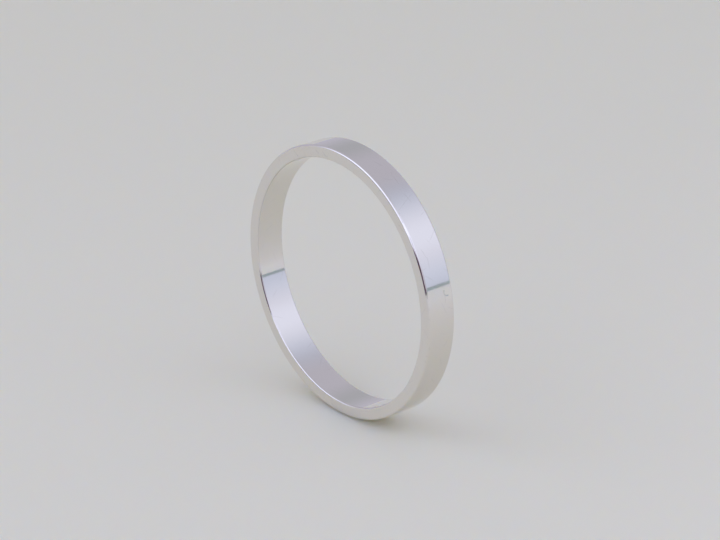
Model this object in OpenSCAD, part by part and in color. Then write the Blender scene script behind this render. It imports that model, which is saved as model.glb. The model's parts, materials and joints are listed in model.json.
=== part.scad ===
/* [Fit] */
// Ring size: the inner circumference in millimetres, so size 50 is a 15.9 mm bore
ring_size = 50; // [41:0.5:76]

/* [Band] */
// Width of the band along the finger
band_w = 2.0; // [1.5:0.1:8]
// Thickness of the metal from the bore to the outside
band_t = 0.8; // [0.6:0.05:2.2]

/* [Edges] */
// Radius that rounds the two outer edges
outer_edge_r = 0.12; // [0.03:0.01:0.25]
// Radius that rounds the two inner edges, which slide over the knuckle
inner_edge_r = 0.1; // [0.03:0.01:0.25]

/* [Hidden] */
$fn = 192;

bore_r = ring_size / (2 * PI);
outer_r = bore_r + band_t;

// Half of the band's section on one side of its mid-plane: the flats, and the two rounded edges.
// x is the distance from the ring's axis, and y is the distance from the mid-plane.
module half_section() {
    half_w = band_w / 2;
    // Between the two rounded edges, the metal reaches the flat side face
    translate([bore_r + inner_edge_r, 0])
        square([band_t - inner_edge_r - outer_edge_r, half_w]);
    // Flat bore and flat outside, each up to its own rounded edge
    translate([bore_r, 0])
        square([inner_edge_r, half_w - inner_edge_r]);
    translate([outer_r - outer_edge_r, 0])
        square([outer_edge_r, half_w - outer_edge_r]);
    // The rounded edges themselves
    translate([bore_r + inner_edge_r, half_w - inner_edge_r])
        circle(r = inner_edge_r);
    translate([outer_r - outer_edge_r, half_w - outer_edge_r])
        circle(r = outer_edge_r);
}

// The whole section, which is the same on both sides of the mid-plane
module section() {
    half_section();
    mirror([0, 1])
        half_section();
}

// One plain closed band with no seam, turned so that the finger passes through it along Y
module band() {
    color([0.80, 0.79, 0.77])
        rotate([90, 0, 0])
            rotate_extrude()
                section();
}

band();
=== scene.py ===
"""A plain flat wedding band in polished white gold, standing on its edge on a pale table in soft light."""
import json
import math

import bmesh
import bpy
from mathutils import Matrix, Vector


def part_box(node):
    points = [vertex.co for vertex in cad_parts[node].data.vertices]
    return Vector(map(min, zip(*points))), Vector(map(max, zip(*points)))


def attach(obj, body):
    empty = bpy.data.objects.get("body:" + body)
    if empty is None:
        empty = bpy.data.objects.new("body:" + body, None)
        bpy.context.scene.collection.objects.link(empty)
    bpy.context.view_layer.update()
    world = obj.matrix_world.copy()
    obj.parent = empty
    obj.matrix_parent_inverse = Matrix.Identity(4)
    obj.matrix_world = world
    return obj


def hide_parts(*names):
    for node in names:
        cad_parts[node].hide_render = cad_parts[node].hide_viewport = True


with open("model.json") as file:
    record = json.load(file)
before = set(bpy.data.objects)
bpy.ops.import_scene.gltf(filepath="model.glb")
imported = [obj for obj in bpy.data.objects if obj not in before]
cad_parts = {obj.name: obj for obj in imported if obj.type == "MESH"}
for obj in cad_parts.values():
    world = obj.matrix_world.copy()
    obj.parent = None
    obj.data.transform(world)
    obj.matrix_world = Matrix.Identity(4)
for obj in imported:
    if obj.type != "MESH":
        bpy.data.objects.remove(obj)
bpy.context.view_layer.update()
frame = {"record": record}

MM = 0.001

# ---------------------------------------------------------------- the band's sizes, from the frame
band_low, band_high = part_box("band")
finger_bore = next(m for m in frame["record"]["mounts"] if m["name"] == "finger_bore")
OUTER_R = (band_high[2] - band_low[2]) / 2
BORE_R = finger_bore["dims"]["r_mm"] * MM
WIDTH = band_high[1] - band_low[1]
FLOOR_Z = band_low[2]
# The bore's own flat wall stops where its rounded edges begin
BORE_EDGE_R = (WIDTH - finger_bore["dims"]["length_mm"] * MM) / 2
OUTER_EDGE_R = 0.12 * MM
# How far inside its rounded edges each face has a loop of its own, which keeps it flat right up to them
FLAT_MARGIN = 0.02 * MM
STEPS_ROUND_BAND = 480
STEPS_ACROSS_EDGE = 8
MERGE_WITHIN = 0.001 * MM
SHARP_ANGLE = math.radians(60)


# ---------------------------------------------------------------- camera
def point_at(azimuth, elevation, distance=1.0):
    """A place at that distance from the origin. Azimuth turns from +X towards +Y, both in degrees."""
    turn, lift = math.radians(azimuth), math.radians(elevation)
    level = math.cos(lift)
    return distance * Vector((level * math.cos(turn), level * math.sin(turn), math.sin(lift)))


CAMERA_AZIMUTH = -38.44
CAMERA_ELEVATION = 22.06
CAMERA_ROLL = -2.0
CAMERA_DISTANCE = 20 * OUTER_R
CAMERA_TO_RIGHT = 0.68 * MM
CAMERA_UP = 0.57 * MM
LENS = 142.5
SENSOR = 36


def add_camera():
    """A long lens that looks down at the band from its front right, with the band just left of the middle."""
    backwards = point_at(CAMERA_AZIMUTH, CAMERA_ELEVATION)
    tilt = math.radians(CAMERA_ROLL)
    level_right = Vector((0, 0, 1)).cross(backwards).normalized()
    level_up = backwards.cross(level_right)
    right = math.cos(tilt) * level_right + math.sin(tilt) * level_up
    up = math.cos(tilt) * level_up - math.sin(tilt) * level_right
    place = CAMERA_DISTANCE * backwards + CAMERA_TO_RIGHT * right + CAMERA_UP * up

    data = bpy.data.cameras.new("camera")
    data.sensor_width = SENSOR
    data.lens = LENS
    data.clip_start = 0.005
    data.clip_end = 20
    camera = bpy.data.objects.new("camera", data)
    axes = Matrix((right, up, backwards)).transposed().to_4x4()
    camera.matrix_world = Matrix.Translation(place) @ axes
    bpy.context.collection.objects.link(camera)
    bpy.context.scene.camera = camera


add_camera()


# ---------------------------------------------------------------- node helpers
def node(tree, kind, values=None, **settings):
    """A new node with its settings. Each input socket named in values gets a number, a colour or a link."""
    made = tree.nodes.new(kind)
    for name, value in settings.items():
        setattr(made, name, value)
    for socket, value in (values or {}).items():
        if isinstance(value, bpy.types.NodeSocket):
            tree.links.new(value, made.inputs[socket])
        else:
            made.inputs[socket].default_value = value
    return made


def math_node(tree, operation, a, b=0.0, c=0.0):
    return node(tree, "ShaderNodeMath", {0: a, 1: b, 2: c}, operation=operation).outputs[0]


def vector_node(tree, operation, a, b=(0, 0, 0)):
    return node(tree, "ShaderNodeVectorMath", {0: a, 1: b}, operation=operation)


def ramp_between(tree, value, low, high, to_low=0.0, to_high=1.0):
    """value carried smoothly from low and high onto to_low and to_high, and held beyond them."""
    values = {"Value": value, "From Min": low, "From Max": high, "To Min": to_low, "To Max": to_high}
    return node(tree, "ShaderNodeMapRange", values, interpolation_type="SMOOTHSTEP").outputs["Result"]


def colour_mix(tree, share, a, b):
    """Colour a where share is 0 and colour b where it is 1."""
    return node(tree, "ShaderNodeMix", {"Factor": share, "A": a, "B": b}, data_type="RGBA").outputs["Result"]


# ---------------------------------------------------------------- polished white gold
METAL_COLOUR = (0.83, 0.80, 0.765, 1)
WORN_COLOUR = (0.70, 0.67, 0.63, 1)
# Polishing lines lie this close across their run, and change this slowly along it, both in lines per metre
LINES_ACROSS = 14000
LINES_ALONG = 250
# One scratch in each cell of this spacing, in this share of the cells
HAIRLINES = {"spacing": 0.7 * MM, "thickness": 0.012 * MM, "reach": 0.45 * MM, "share": 0.4}
STROKES = {"spacing": 2.6 * MM, "thickness": 0.014 * MM, "reach": 1.4 * MM, "share": 0.3}
# The edges are fully worn up to WORN_EDGE from each corner, and not at all beyond these two distances
WORN_EDGE = 0.05 * MM
FRESH_FROM = 0.22 * MM
FRESH_FROM_IN_BORE = 0.2 * MM
# The nick: degrees up from +X, distance behind the middle of the band, and its line's radius, width and fade
NICK_TURN = 10.6
NICK_ALONG = 0.55 * MM
NICK_R = 0.23 * MM
NICK_LINE = 0.06 * MM
NICK_FADE = 0.1 * MM
# Only the side of the nick's circle that faces the front and down is pressed in
NICK_FACES = (0, -0.8, -0.6)
# The spot rubbed flat: degrees up from +X, degrees from straight outwards to the front, and its depth
RUBBED_TURN = 38.5
RUBBED_SLOPE = 50
RUBBED_DEPTH = 0.011 * MM
# How often the small dents and the haze repeat, in features per metre, and the noise levels each grows over
DENTS_SCALE = 5200.0
DENTS_LEVELS = (0.62, 0.76)
HAZE_SCALE = 420.0
HAZE_LEVELS = (0.35, 0.75)
# Roughness where the haze is thinnest and thickest, and what each mark adds to it
POLISHED = 0.03
HAZED = 0.07
LINES_ROUGHEN = 0.03
EDGES_ROUGHEN = 0.04
MARKS_ROUGHEN = 0.12
# How deep each kind of mark is
LINES_DEPTH = 0.00012 * MM
MARKS_DEPTH = 0.0008 * MM
NICK_DEPTH = 0.004 * MM


def scratches(tree, place, normal, spacing, thickness, reach, share):
    """Short strokes, one in each cell of a spotted pattern, each lying its own way along the surface."""
    spots = node(tree, "ShaderNodeTexVoronoi", {"Vector": place, "Scale": 1 / spacing})
    chance = node(tree, "ShaderNodeSeparateXYZ", {0: spots.outputs["Color"]}).outputs["Z"]
    any_way = vector_node(tree, "SUBTRACT", spots.outputs["Color"], (0.5, 0.5, 0.5)).outputs[0]
    beside_way = vector_node(tree, "CROSS_PRODUCT", normal, any_way).outputs[0]
    beside_way = vector_node(tree, "NORMALIZE", beside_way).outputs[0]
    from_spot = vector_node(tree, "SUBTRACT", place, spots.outputs["Position"]).outputs[0]
    beside = vector_node(tree, "DOT_PRODUCT", from_spot, beside_way).outputs["Value"]
    away = vector_node(tree, "LENGTH", from_spot).outputs["Value"]
    stroke = ramp_between(tree, math_node(tree, "ABSOLUTE", beside), 0.3 * thickness, thickness, 1.0, 0.0)
    stroke = math_node(tree, "MULTIPLY", stroke, ramp_between(tree, away, 0.5 * reach, reach, 1.0, 0.0))
    return math_node(tree, "MULTIPLY", stroke, ramp_between(tree, chance, 1 - share, 1.1 - share))


def on_outside(turn, along):
    """The point on the outside of the band that is turned up from +X by that many degrees."""
    turn = math.radians(turn)
    return (OUTER_R * math.cos(turn), along, OUTER_R * math.sin(turn))


def white_gold():
    """Mirror-polished metal with fine polishing lines around the band, stray scratches and rubbed edges."""
    material = bpy.data.materials.new("polished_white_gold")
    material.use_nodes = True
    tree = material.node_tree
    shader = tree.nodes["Principled BSDF"]
    shader.inputs["Metallic"].default_value = 1.0

    coordinates = node(tree, "ShaderNodeTexCoord")
    place = coordinates.outputs["Object"]
    normal = coordinates.outputs["Normal"]
    across = node(tree, "ShaderNodeSeparateXYZ", {0: place}).outputs["Y"]
    from_axis = vector_node(tree, "MULTIPLY", place, (1, 0, 1)).outputs[0]
    radius = vector_node(tree, "LENGTH", from_axis).outputs["Value"]

    # Polishing lines run round the band on every face
    lines_at = vector_node(tree, "MULTIPLY", place, (LINES_ALONG, LINES_ACROSS, LINES_ALONG)).outputs[0]
    lines_w = math_node(tree, "MULTIPLY", radius, LINES_ACROSS)
    line_values = {"Vector": lines_at, "W": lines_w, "Scale": 1.0, "Detail": 3.0}
    line_noise = node(tree, "ShaderNodeTexNoise", line_values, noise_dimensions="4D")
    lines = line_noise.outputs["Fac"]

    # Stray scratches from wear: many short hairlines and a few longer strokes
    hairlines = scratches(tree, place, normal, **HAIRLINES)
    strokes = scratches(tree, place, normal, **STROKES)

    # The rounded edges rub against everything, so they carry small dents and are a little duller
    from_middle = math_node(tree, "ABSOLUTE", across)
    side = ramp_between(tree, from_middle, WIDTH / 2 - FRESH_FROM, WIDTH / 2 - WORN_EDGE)
    outside = ramp_between(tree, radius, OUTER_R - FRESH_FROM, OUTER_R - WORN_EDGE)
    inside = ramp_between(tree, radius, BORE_R + WORN_EDGE, BORE_R + FRESH_FROM_IN_BORE, 1.0, 0.0)
    edge = math_node(tree, "MULTIPLY", side, math_node(tree, "MAXIMUM", outside, inside))
    dents = node(tree, "ShaderNodeTexNoise", {"Vector": place, "Scale": DENTS_SCALE, "Detail": 2.0})
    edge_dents = math_node(tree, "MULTIPLY", edge, ramp_between(tree, dents.outputs["Fac"], *DENTS_LEVELS))

    # A handling nick: a shallow crescent pressed into the outside, near its back edge
    from_nick = vector_node(tree, "SUBTRACT", place, on_outside(NICK_TURN, NICK_ALONG)).outputs[0]
    nick_reach = vector_node(tree, "LENGTH", from_nick).outputs["Value"]
    nick_line = math_node(tree, "ABSOLUTE", math_node(tree, "SUBTRACT", nick_reach, NICK_R))
    nick_side = vector_node(tree, "DOT_PRODUCT", from_nick, NICK_FACES).outputs["Value"]
    nick = math_node(tree, "MULTIPLY", ramp_between(tree, nick_line, 0.0, NICK_LINE, 1.0, 0.0),
                     ramp_between(tree, nick_side, 0.0, NICK_FADE))

    # Handling leaves a faint haze that comes and goes over the polish
    haze = node(tree, "ShaderNodeTexNoise", {"Vector": place, "Scale": HAZE_SCALE, "Detail": 3.0})

    worn = math_node(tree, "MAXIMUM", math_node(tree, "MAXIMUM", hairlines, strokes), edge_dents)
    worn = math_node(tree, "MAXIMUM", worn, nick)
    roughness = ramp_between(tree, haze.outputs["Fac"], *HAZE_LEVELS, POLISHED, HAZED)
    roughness = math_node(tree, "MULTIPLY_ADD", lines, LINES_ROUGHEN, roughness)
    roughness = math_node(tree, "MULTIPLY_ADD", edge, EDGES_ROUGHEN, roughness)
    roughness = math_node(tree, "MULTIPLY_ADD", worn, MARKS_ROUGHEN, roughness)
    tree.links.new(roughness, shader.inputs["Roughness"])

    # The metal is slightly duller where the polish is thin
    tree.links.new(colour_mix(tree, worn, METAL_COLOUR, WORN_COLOUR), shader.inputs["Base Color"])

    fine = node(tree, "ShaderNodeBump", {"Strength": 1.0, "Distance": LINES_DEPTH, "Height": lines})
    cut = node(tree, "ShaderNodeBump", {"Strength": 1.0, "Distance": MARKS_DEPTH, "Height": worn,
                                        "Normal": fine.outputs[0]}, invert=True)
    deep = node(tree, "ShaderNodeBump", {"Strength": 1.0, "Distance": NICK_DEPTH, "Height": nick,
                                         "Normal": cut.outputs[0]}, invert=True)
    tree.links.new(deep.outputs[0], shader.inputs["Normal"])
    return material


# ---------------------------------------------------------------- the band
def rub_flat(shape):
    """A small spot on the front outer edge, worn flat where the band has knocked against something."""
    out = point_at(0, 0)
    out.rotate(Matrix.Rotation(math.radians(-RUBBED_TURN), 3, "Y"))
    front = Vector((0, -1, 0))
    slope = math.radians(RUBBED_SLOPE)
    facing = math.cos(slope) * out + math.sin(slope) * front
    edge_middle = (OUTER_R - OUTER_EDGE_R) * out + (WIDTH / 2 - OUTER_EDGE_R) * front
    worn_to = edge_middle + (OUTER_EDGE_R - RUBBED_DEPTH) * facing
    cut = bmesh.ops.bisect_plane(shape, geom=shape.verts[:] + shape.edges[:] + shape.faces[:],
                                 plane_co=worn_to, plane_no=facing, clear_outer=True)
    rim = [part for part in cut["geom_cut"] if isinstance(part, bmesh.types.BMEdge)]
    bmesh.ops.holes_fill(shape, edges=rim, sides=0)
    for edge in rim:
        edge.smooth = False


def spin_band():
    """Flat stock spun into a closed ring about Y, with its four edges eased round."""
    shape = bmesh.new()
    half = WIDTH / 2
    inner = BORE_EDGE_R + FLAT_MARGIN
    outer = OUTER_EDGE_R + FLAT_MARGIN
    points = ((BORE_R, -half), (BORE_R + inner, -half), (OUTER_R - outer, -half),
              (OUTER_R, -half), (OUTER_R, outer - half), (OUTER_R, half - outer),
              (OUTER_R, half), (OUTER_R - outer, half), (BORE_R + inner, half),
              (BORE_R, half), (BORE_R, half - inner), (BORE_R, inner - half))
    corners = [shape.verts.new((out, along, 0)) for out, along in points]
    outline = [shape.edges.new((a, b)) for a, b in zip(corners, corners[1:] + corners[:1])]
    bmesh.ops.spin(shape, geom=corners + outline, cent=(0, 0, 0), axis=(0, 1, 0), dvec=(0, 0, 0),
                   angle=math.tau, steps=STEPS_ROUND_BAND, use_merge=True, use_duplicate=False)
    bmesh.ops.remove_doubles(shape, verts=shape.verts, dist=MERGE_WITHIN)
    bmesh.ops.recalc_face_normals(shape, faces=shape.faces)

    middle_r = (OUTER_R + BORE_R) / 2
    for is_outer, edge_r in ((True, OUTER_EDGE_R), (False, BORE_EDGE_R)):
        sharp = [e for e in shape.edges if e.calc_face_angle(0) > SHARP_ANGLE
                 and (Vector((e.verts[0].co.x, e.verts[0].co.z)).length > middle_r) == is_outer]
        bmesh.ops.bevel(shape, geom=sharp, offset=edge_r, offset_type="OFFSET", affect="EDGES",
                        segments=STEPS_ACROSS_EDGE, profile=0.5, material=-1, clamp_overlap=False)
    for face in shape.faces:
        face.smooth = True
    rub_flat(shape)

    mesh = bpy.data.meshes.new("polished_band")
    shape.to_mesh(mesh)
    shape.free()
    band = bpy.data.objects.new("polished_band", mesh)
    bpy.context.collection.objects.link(band)
    return band


band = spin_band()
band.data.materials.append(white_gold())
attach(band, "root")
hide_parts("band")


# ---------------------------------------------------------------- table and soft light
TABLE_FRONT = (0.84, 0.82, 0.68, 1)
# A darker tone painted in as shade towards the back of the table
TABLE_PAINTED_SHADE = (0.735, 0.715, 0.56, 1)
# A lighter tone painted in as a pool of light below the right window
TABLE_PAINTED_LIGHT = (0.96, 0.92, 0.75, 1)
TABLE_R = 1.5
TABLE_STEPS = 96
# Over spans from the middle, painted shade darkens the table towards one azimuth and painted light lightens
# it towards another
PAINTED_SHADE_AZIMUTH = 141.56
PAINTED_SHADE_SPAN = (-60 * MM, 110 * MM)
PAINTED_LIGHT_AZIMUTH = 36
PAINTED_LIGHT_SPAN = (8 * MM, 75 * MM)
# How far light spreads inside the table, and how much of that each colour goes
LIGHT_SPREAD = 3.5 * MM
SPREAD_BY_COLOUR = (1.0, 0.85, 0.6)

FAR_CARD_COLOUR = (0.45, 0.53, 0.52, 1)
DARK_CARD_COLOUR = (0.16, 0.095, 0.135, 1)
CARD_HEIGHT = 14.7 * MM
CARD_STEPS = 24
MATT = 0.9

ROOM_LIGHT = (0.52, 0.51, 0.60)
# Each row: azimuth and elevation, degrees around that with all of its light, degrees with any, and the light
WINDOWS = ((44, 33, 2, 38, (0.335, 0.375, 0.465)),
           (37, 2, 2, 22, (0.075, 0.13, 0.20)),
           (72, 52, 0, 22, (0.0, 0.035, 0.075)),
           (-6, 42, 10, 38, (0.48, 0.53, 0.73)),
           (-104, 26, 28, 50, (0.62, 0.69, 0.92)))
# The same for a corner that is darker than the room
DIM_CORNER = (141, 25, 0, 24, (-0.08, -0.06, -0.10))


def plain_material(name, colour, roughness, specular):
    material = bpy.data.materials.new(name)
    material.use_nodes = True
    inputs = material.node_tree.nodes["Principled BSDF"].inputs
    inputs["Base Color"].default_value = colour
    inputs["Roughness"].default_value = roughness
    inputs["Specular IOR Level"].default_value = specular
    return material


def table_with_painted_light():
    """Pale and matt, with painted shade darker towards the back and a painted pool of light below the right
    window.
    """
    material = plain_material("pale_table", TABLE_FRONT, MATT, 0.1)
    tree = material.node_tree
    shader = tree.nodes["Principled BSDF"]
    place = node(tree, "ShaderNodeTexCoord").outputs["Object"]
    # Painted shade: the table's colour darkens towards the back
    painted_shade_reach = vector_node(tree, "DOT_PRODUCT", place, point_at(PAINTED_SHADE_AZIMUTH, 0)).outputs["Value"]
    # Painted light: the table's colour lightens towards the right window
    painted_light_reach = vector_node(tree, "DOT_PRODUCT", place, point_at(PAINTED_LIGHT_AZIMUTH, 0)).outputs["Value"]
    tone = colour_mix(tree, ramp_between(tree, painted_shade_reach, *PAINTED_SHADE_SPAN), TABLE_FRONT, TABLE_PAINTED_SHADE)
    tone = colour_mix(tree, ramp_between(tree, painted_light_reach, *PAINTED_LIGHT_SPAN), tone, TABLE_PAINTED_LIGHT)
    tree.links.new(tone, shader.inputs["Base Color"])

    # Light that falls on it spreads a little inside before it comes out again, which softens every shadow
    shader.inputs["Subsurface Weight"].default_value = 1.0
    shader.inputs["Subsurface Radius"].default_value = SPREAD_BY_COLOUR
    shader.inputs["Subsurface Scale"].default_value = LIGHT_SPREAD
    return material


def add_table():
    shape = bmesh.new()
    bmesh.ops.create_circle(shape, cap_ends=True, radius=TABLE_R, segments=TABLE_STEPS,
                            matrix=Matrix.Translation((0, 0, FLOOR_Z)))
    mesh = bpy.data.meshes.new("table")
    shape.to_mesh(mesh)
    shape.free()
    table = bpy.data.objects.new("table", mesh)
    bpy.context.collection.objects.link(table)
    mesh.materials.append(table_with_painted_light())


def stand_card(name, shape, colour):
    """A matt card that shows only in reflections, and takes no light off the table."""
    mesh = bpy.data.meshes.new(name)
    shape.to_mesh(mesh)
    shape.free()
    card = bpy.data.objects.new(name, mesh)
    bpy.context.collection.objects.link(card)
    mesh.materials.append(plain_material(name, colour, MATT, 0.0))
    card.visible_camera = False
    card.visible_diffuse = False
    card.visible_shadow = False


def curved_card(distance, from_azimuth, to_azimuth):
    """A low card that stands on the table in an arc round the band."""
    shape = bmesh.new()
    start = point_at(from_azimuth, 0, distance)
    foot = shape.verts.new((start.x, start.y, FLOOR_Z))
    top = shape.verts.new((start.x, start.y, FLOOR_Z + CARD_HEIGHT))
    card_end = shape.edges.new((foot, top))
    bmesh.ops.spin(shape, geom=[foot, top, card_end], cent=(0, 0, 0), axis=(0, 0, 1), dvec=(0, 0, 0),
                   angle=math.radians(to_azimuth - from_azimuth), steps=CARD_STEPS, use_merge=False,
                   use_duplicate=False)
    return shape


def flat_card(seen_from, facing, distance, corners):
    """A flat upright card, that far off in the facing direction from a place on the band.

    Each corner lies in a direction, azimuth and elevation, from that place.
    """
    shape = bmesh.new()
    rays = [point_at(*corner) for corner in corners]
    towards = point_at(facing, 0)
    shape.faces.new([shape.verts.new(seen_from + ray * distance / ray.dot(towards)) for ray in rays])
    return shape


def glow(tree, heading, azimuth, elevation, inner, outer):
    """1 within inner degrees of a direction, fading smoothly to 0 at outer degrees."""
    towards = vector_node(tree, "DOT_PRODUCT", heading, point_at(azimuth, elevation)).outputs["Value"]
    angle = math_node(tree, "ARCCOSINE", towards)
    return ramp_between(tree, angle, math.radians(inner), math.radians(outer), 1.0, 0.0)


def add_soft_light():
    """A pale room with one dim corner, and broad windows to the right, in front and at the front left."""
    world = bpy.data.worlds.new("soft_room")
    bpy.context.scene.world = world
    world.use_nodes = True
    tree = world.node_tree
    heading = node(tree, "ShaderNodeTexCoord").outputs["Generated"]

    total = ROOM_LIGHT
    for azimuth, elevation, inner, outer, colour in (*WINDOWS, DIM_CORNER):
        light = vector_node(tree, "SCALE", colour)
        tree.links.new(glow(tree, heading, azimuth, elevation, inner, outer), light.inputs["Scale"])
        total = vector_node(tree, "ADD", light.outputs[0], total).outputs[0]
    tree.links.new(total, tree.nodes["Background"].inputs["Color"])


add_table()
far_card = curved_card(distance=400 * MM, from_azimuth=-10, to_azimuth=100)
stand_card("far_card", far_card, FAR_CARD_COLOUR)
right_card = curved_card(distance=150 * MM, from_azimuth=-50, to_azimuth=-12)
stand_card("right_dark_card", right_card, DARK_CARD_COLOUR)

# The two flat dark cards are set out from the places on the front edge that reflect them
right_front_edge = Vector((0.93 * OUTER_R, -WIDTH / 2, 0.42 * OUTER_R))
front_card = flat_card(right_front_edge, facing=-103, distance=28 * MM,
                       corners=((-136, -20), (-46, -5), (-46, 18), (-95, 4)))
stand_card("front_dark_card", front_card, DARK_CARD_COLOUR)
top_front_edge = Vector((0.45 * OUTER_R, -WIDTH / 2, 0.9 * OUTER_R))
left_card = flat_card(top_front_edge, facing=-90, distance=37 * MM,
                      corners=((-140, -16), (-121, -21), (-121, -8), (-139, -6)))
stand_card("left_dark_card", left_card, DARK_CARD_COLOUR)
add_soft_light()
bpy.context.scene.view_settings.view_transform = "Standard"
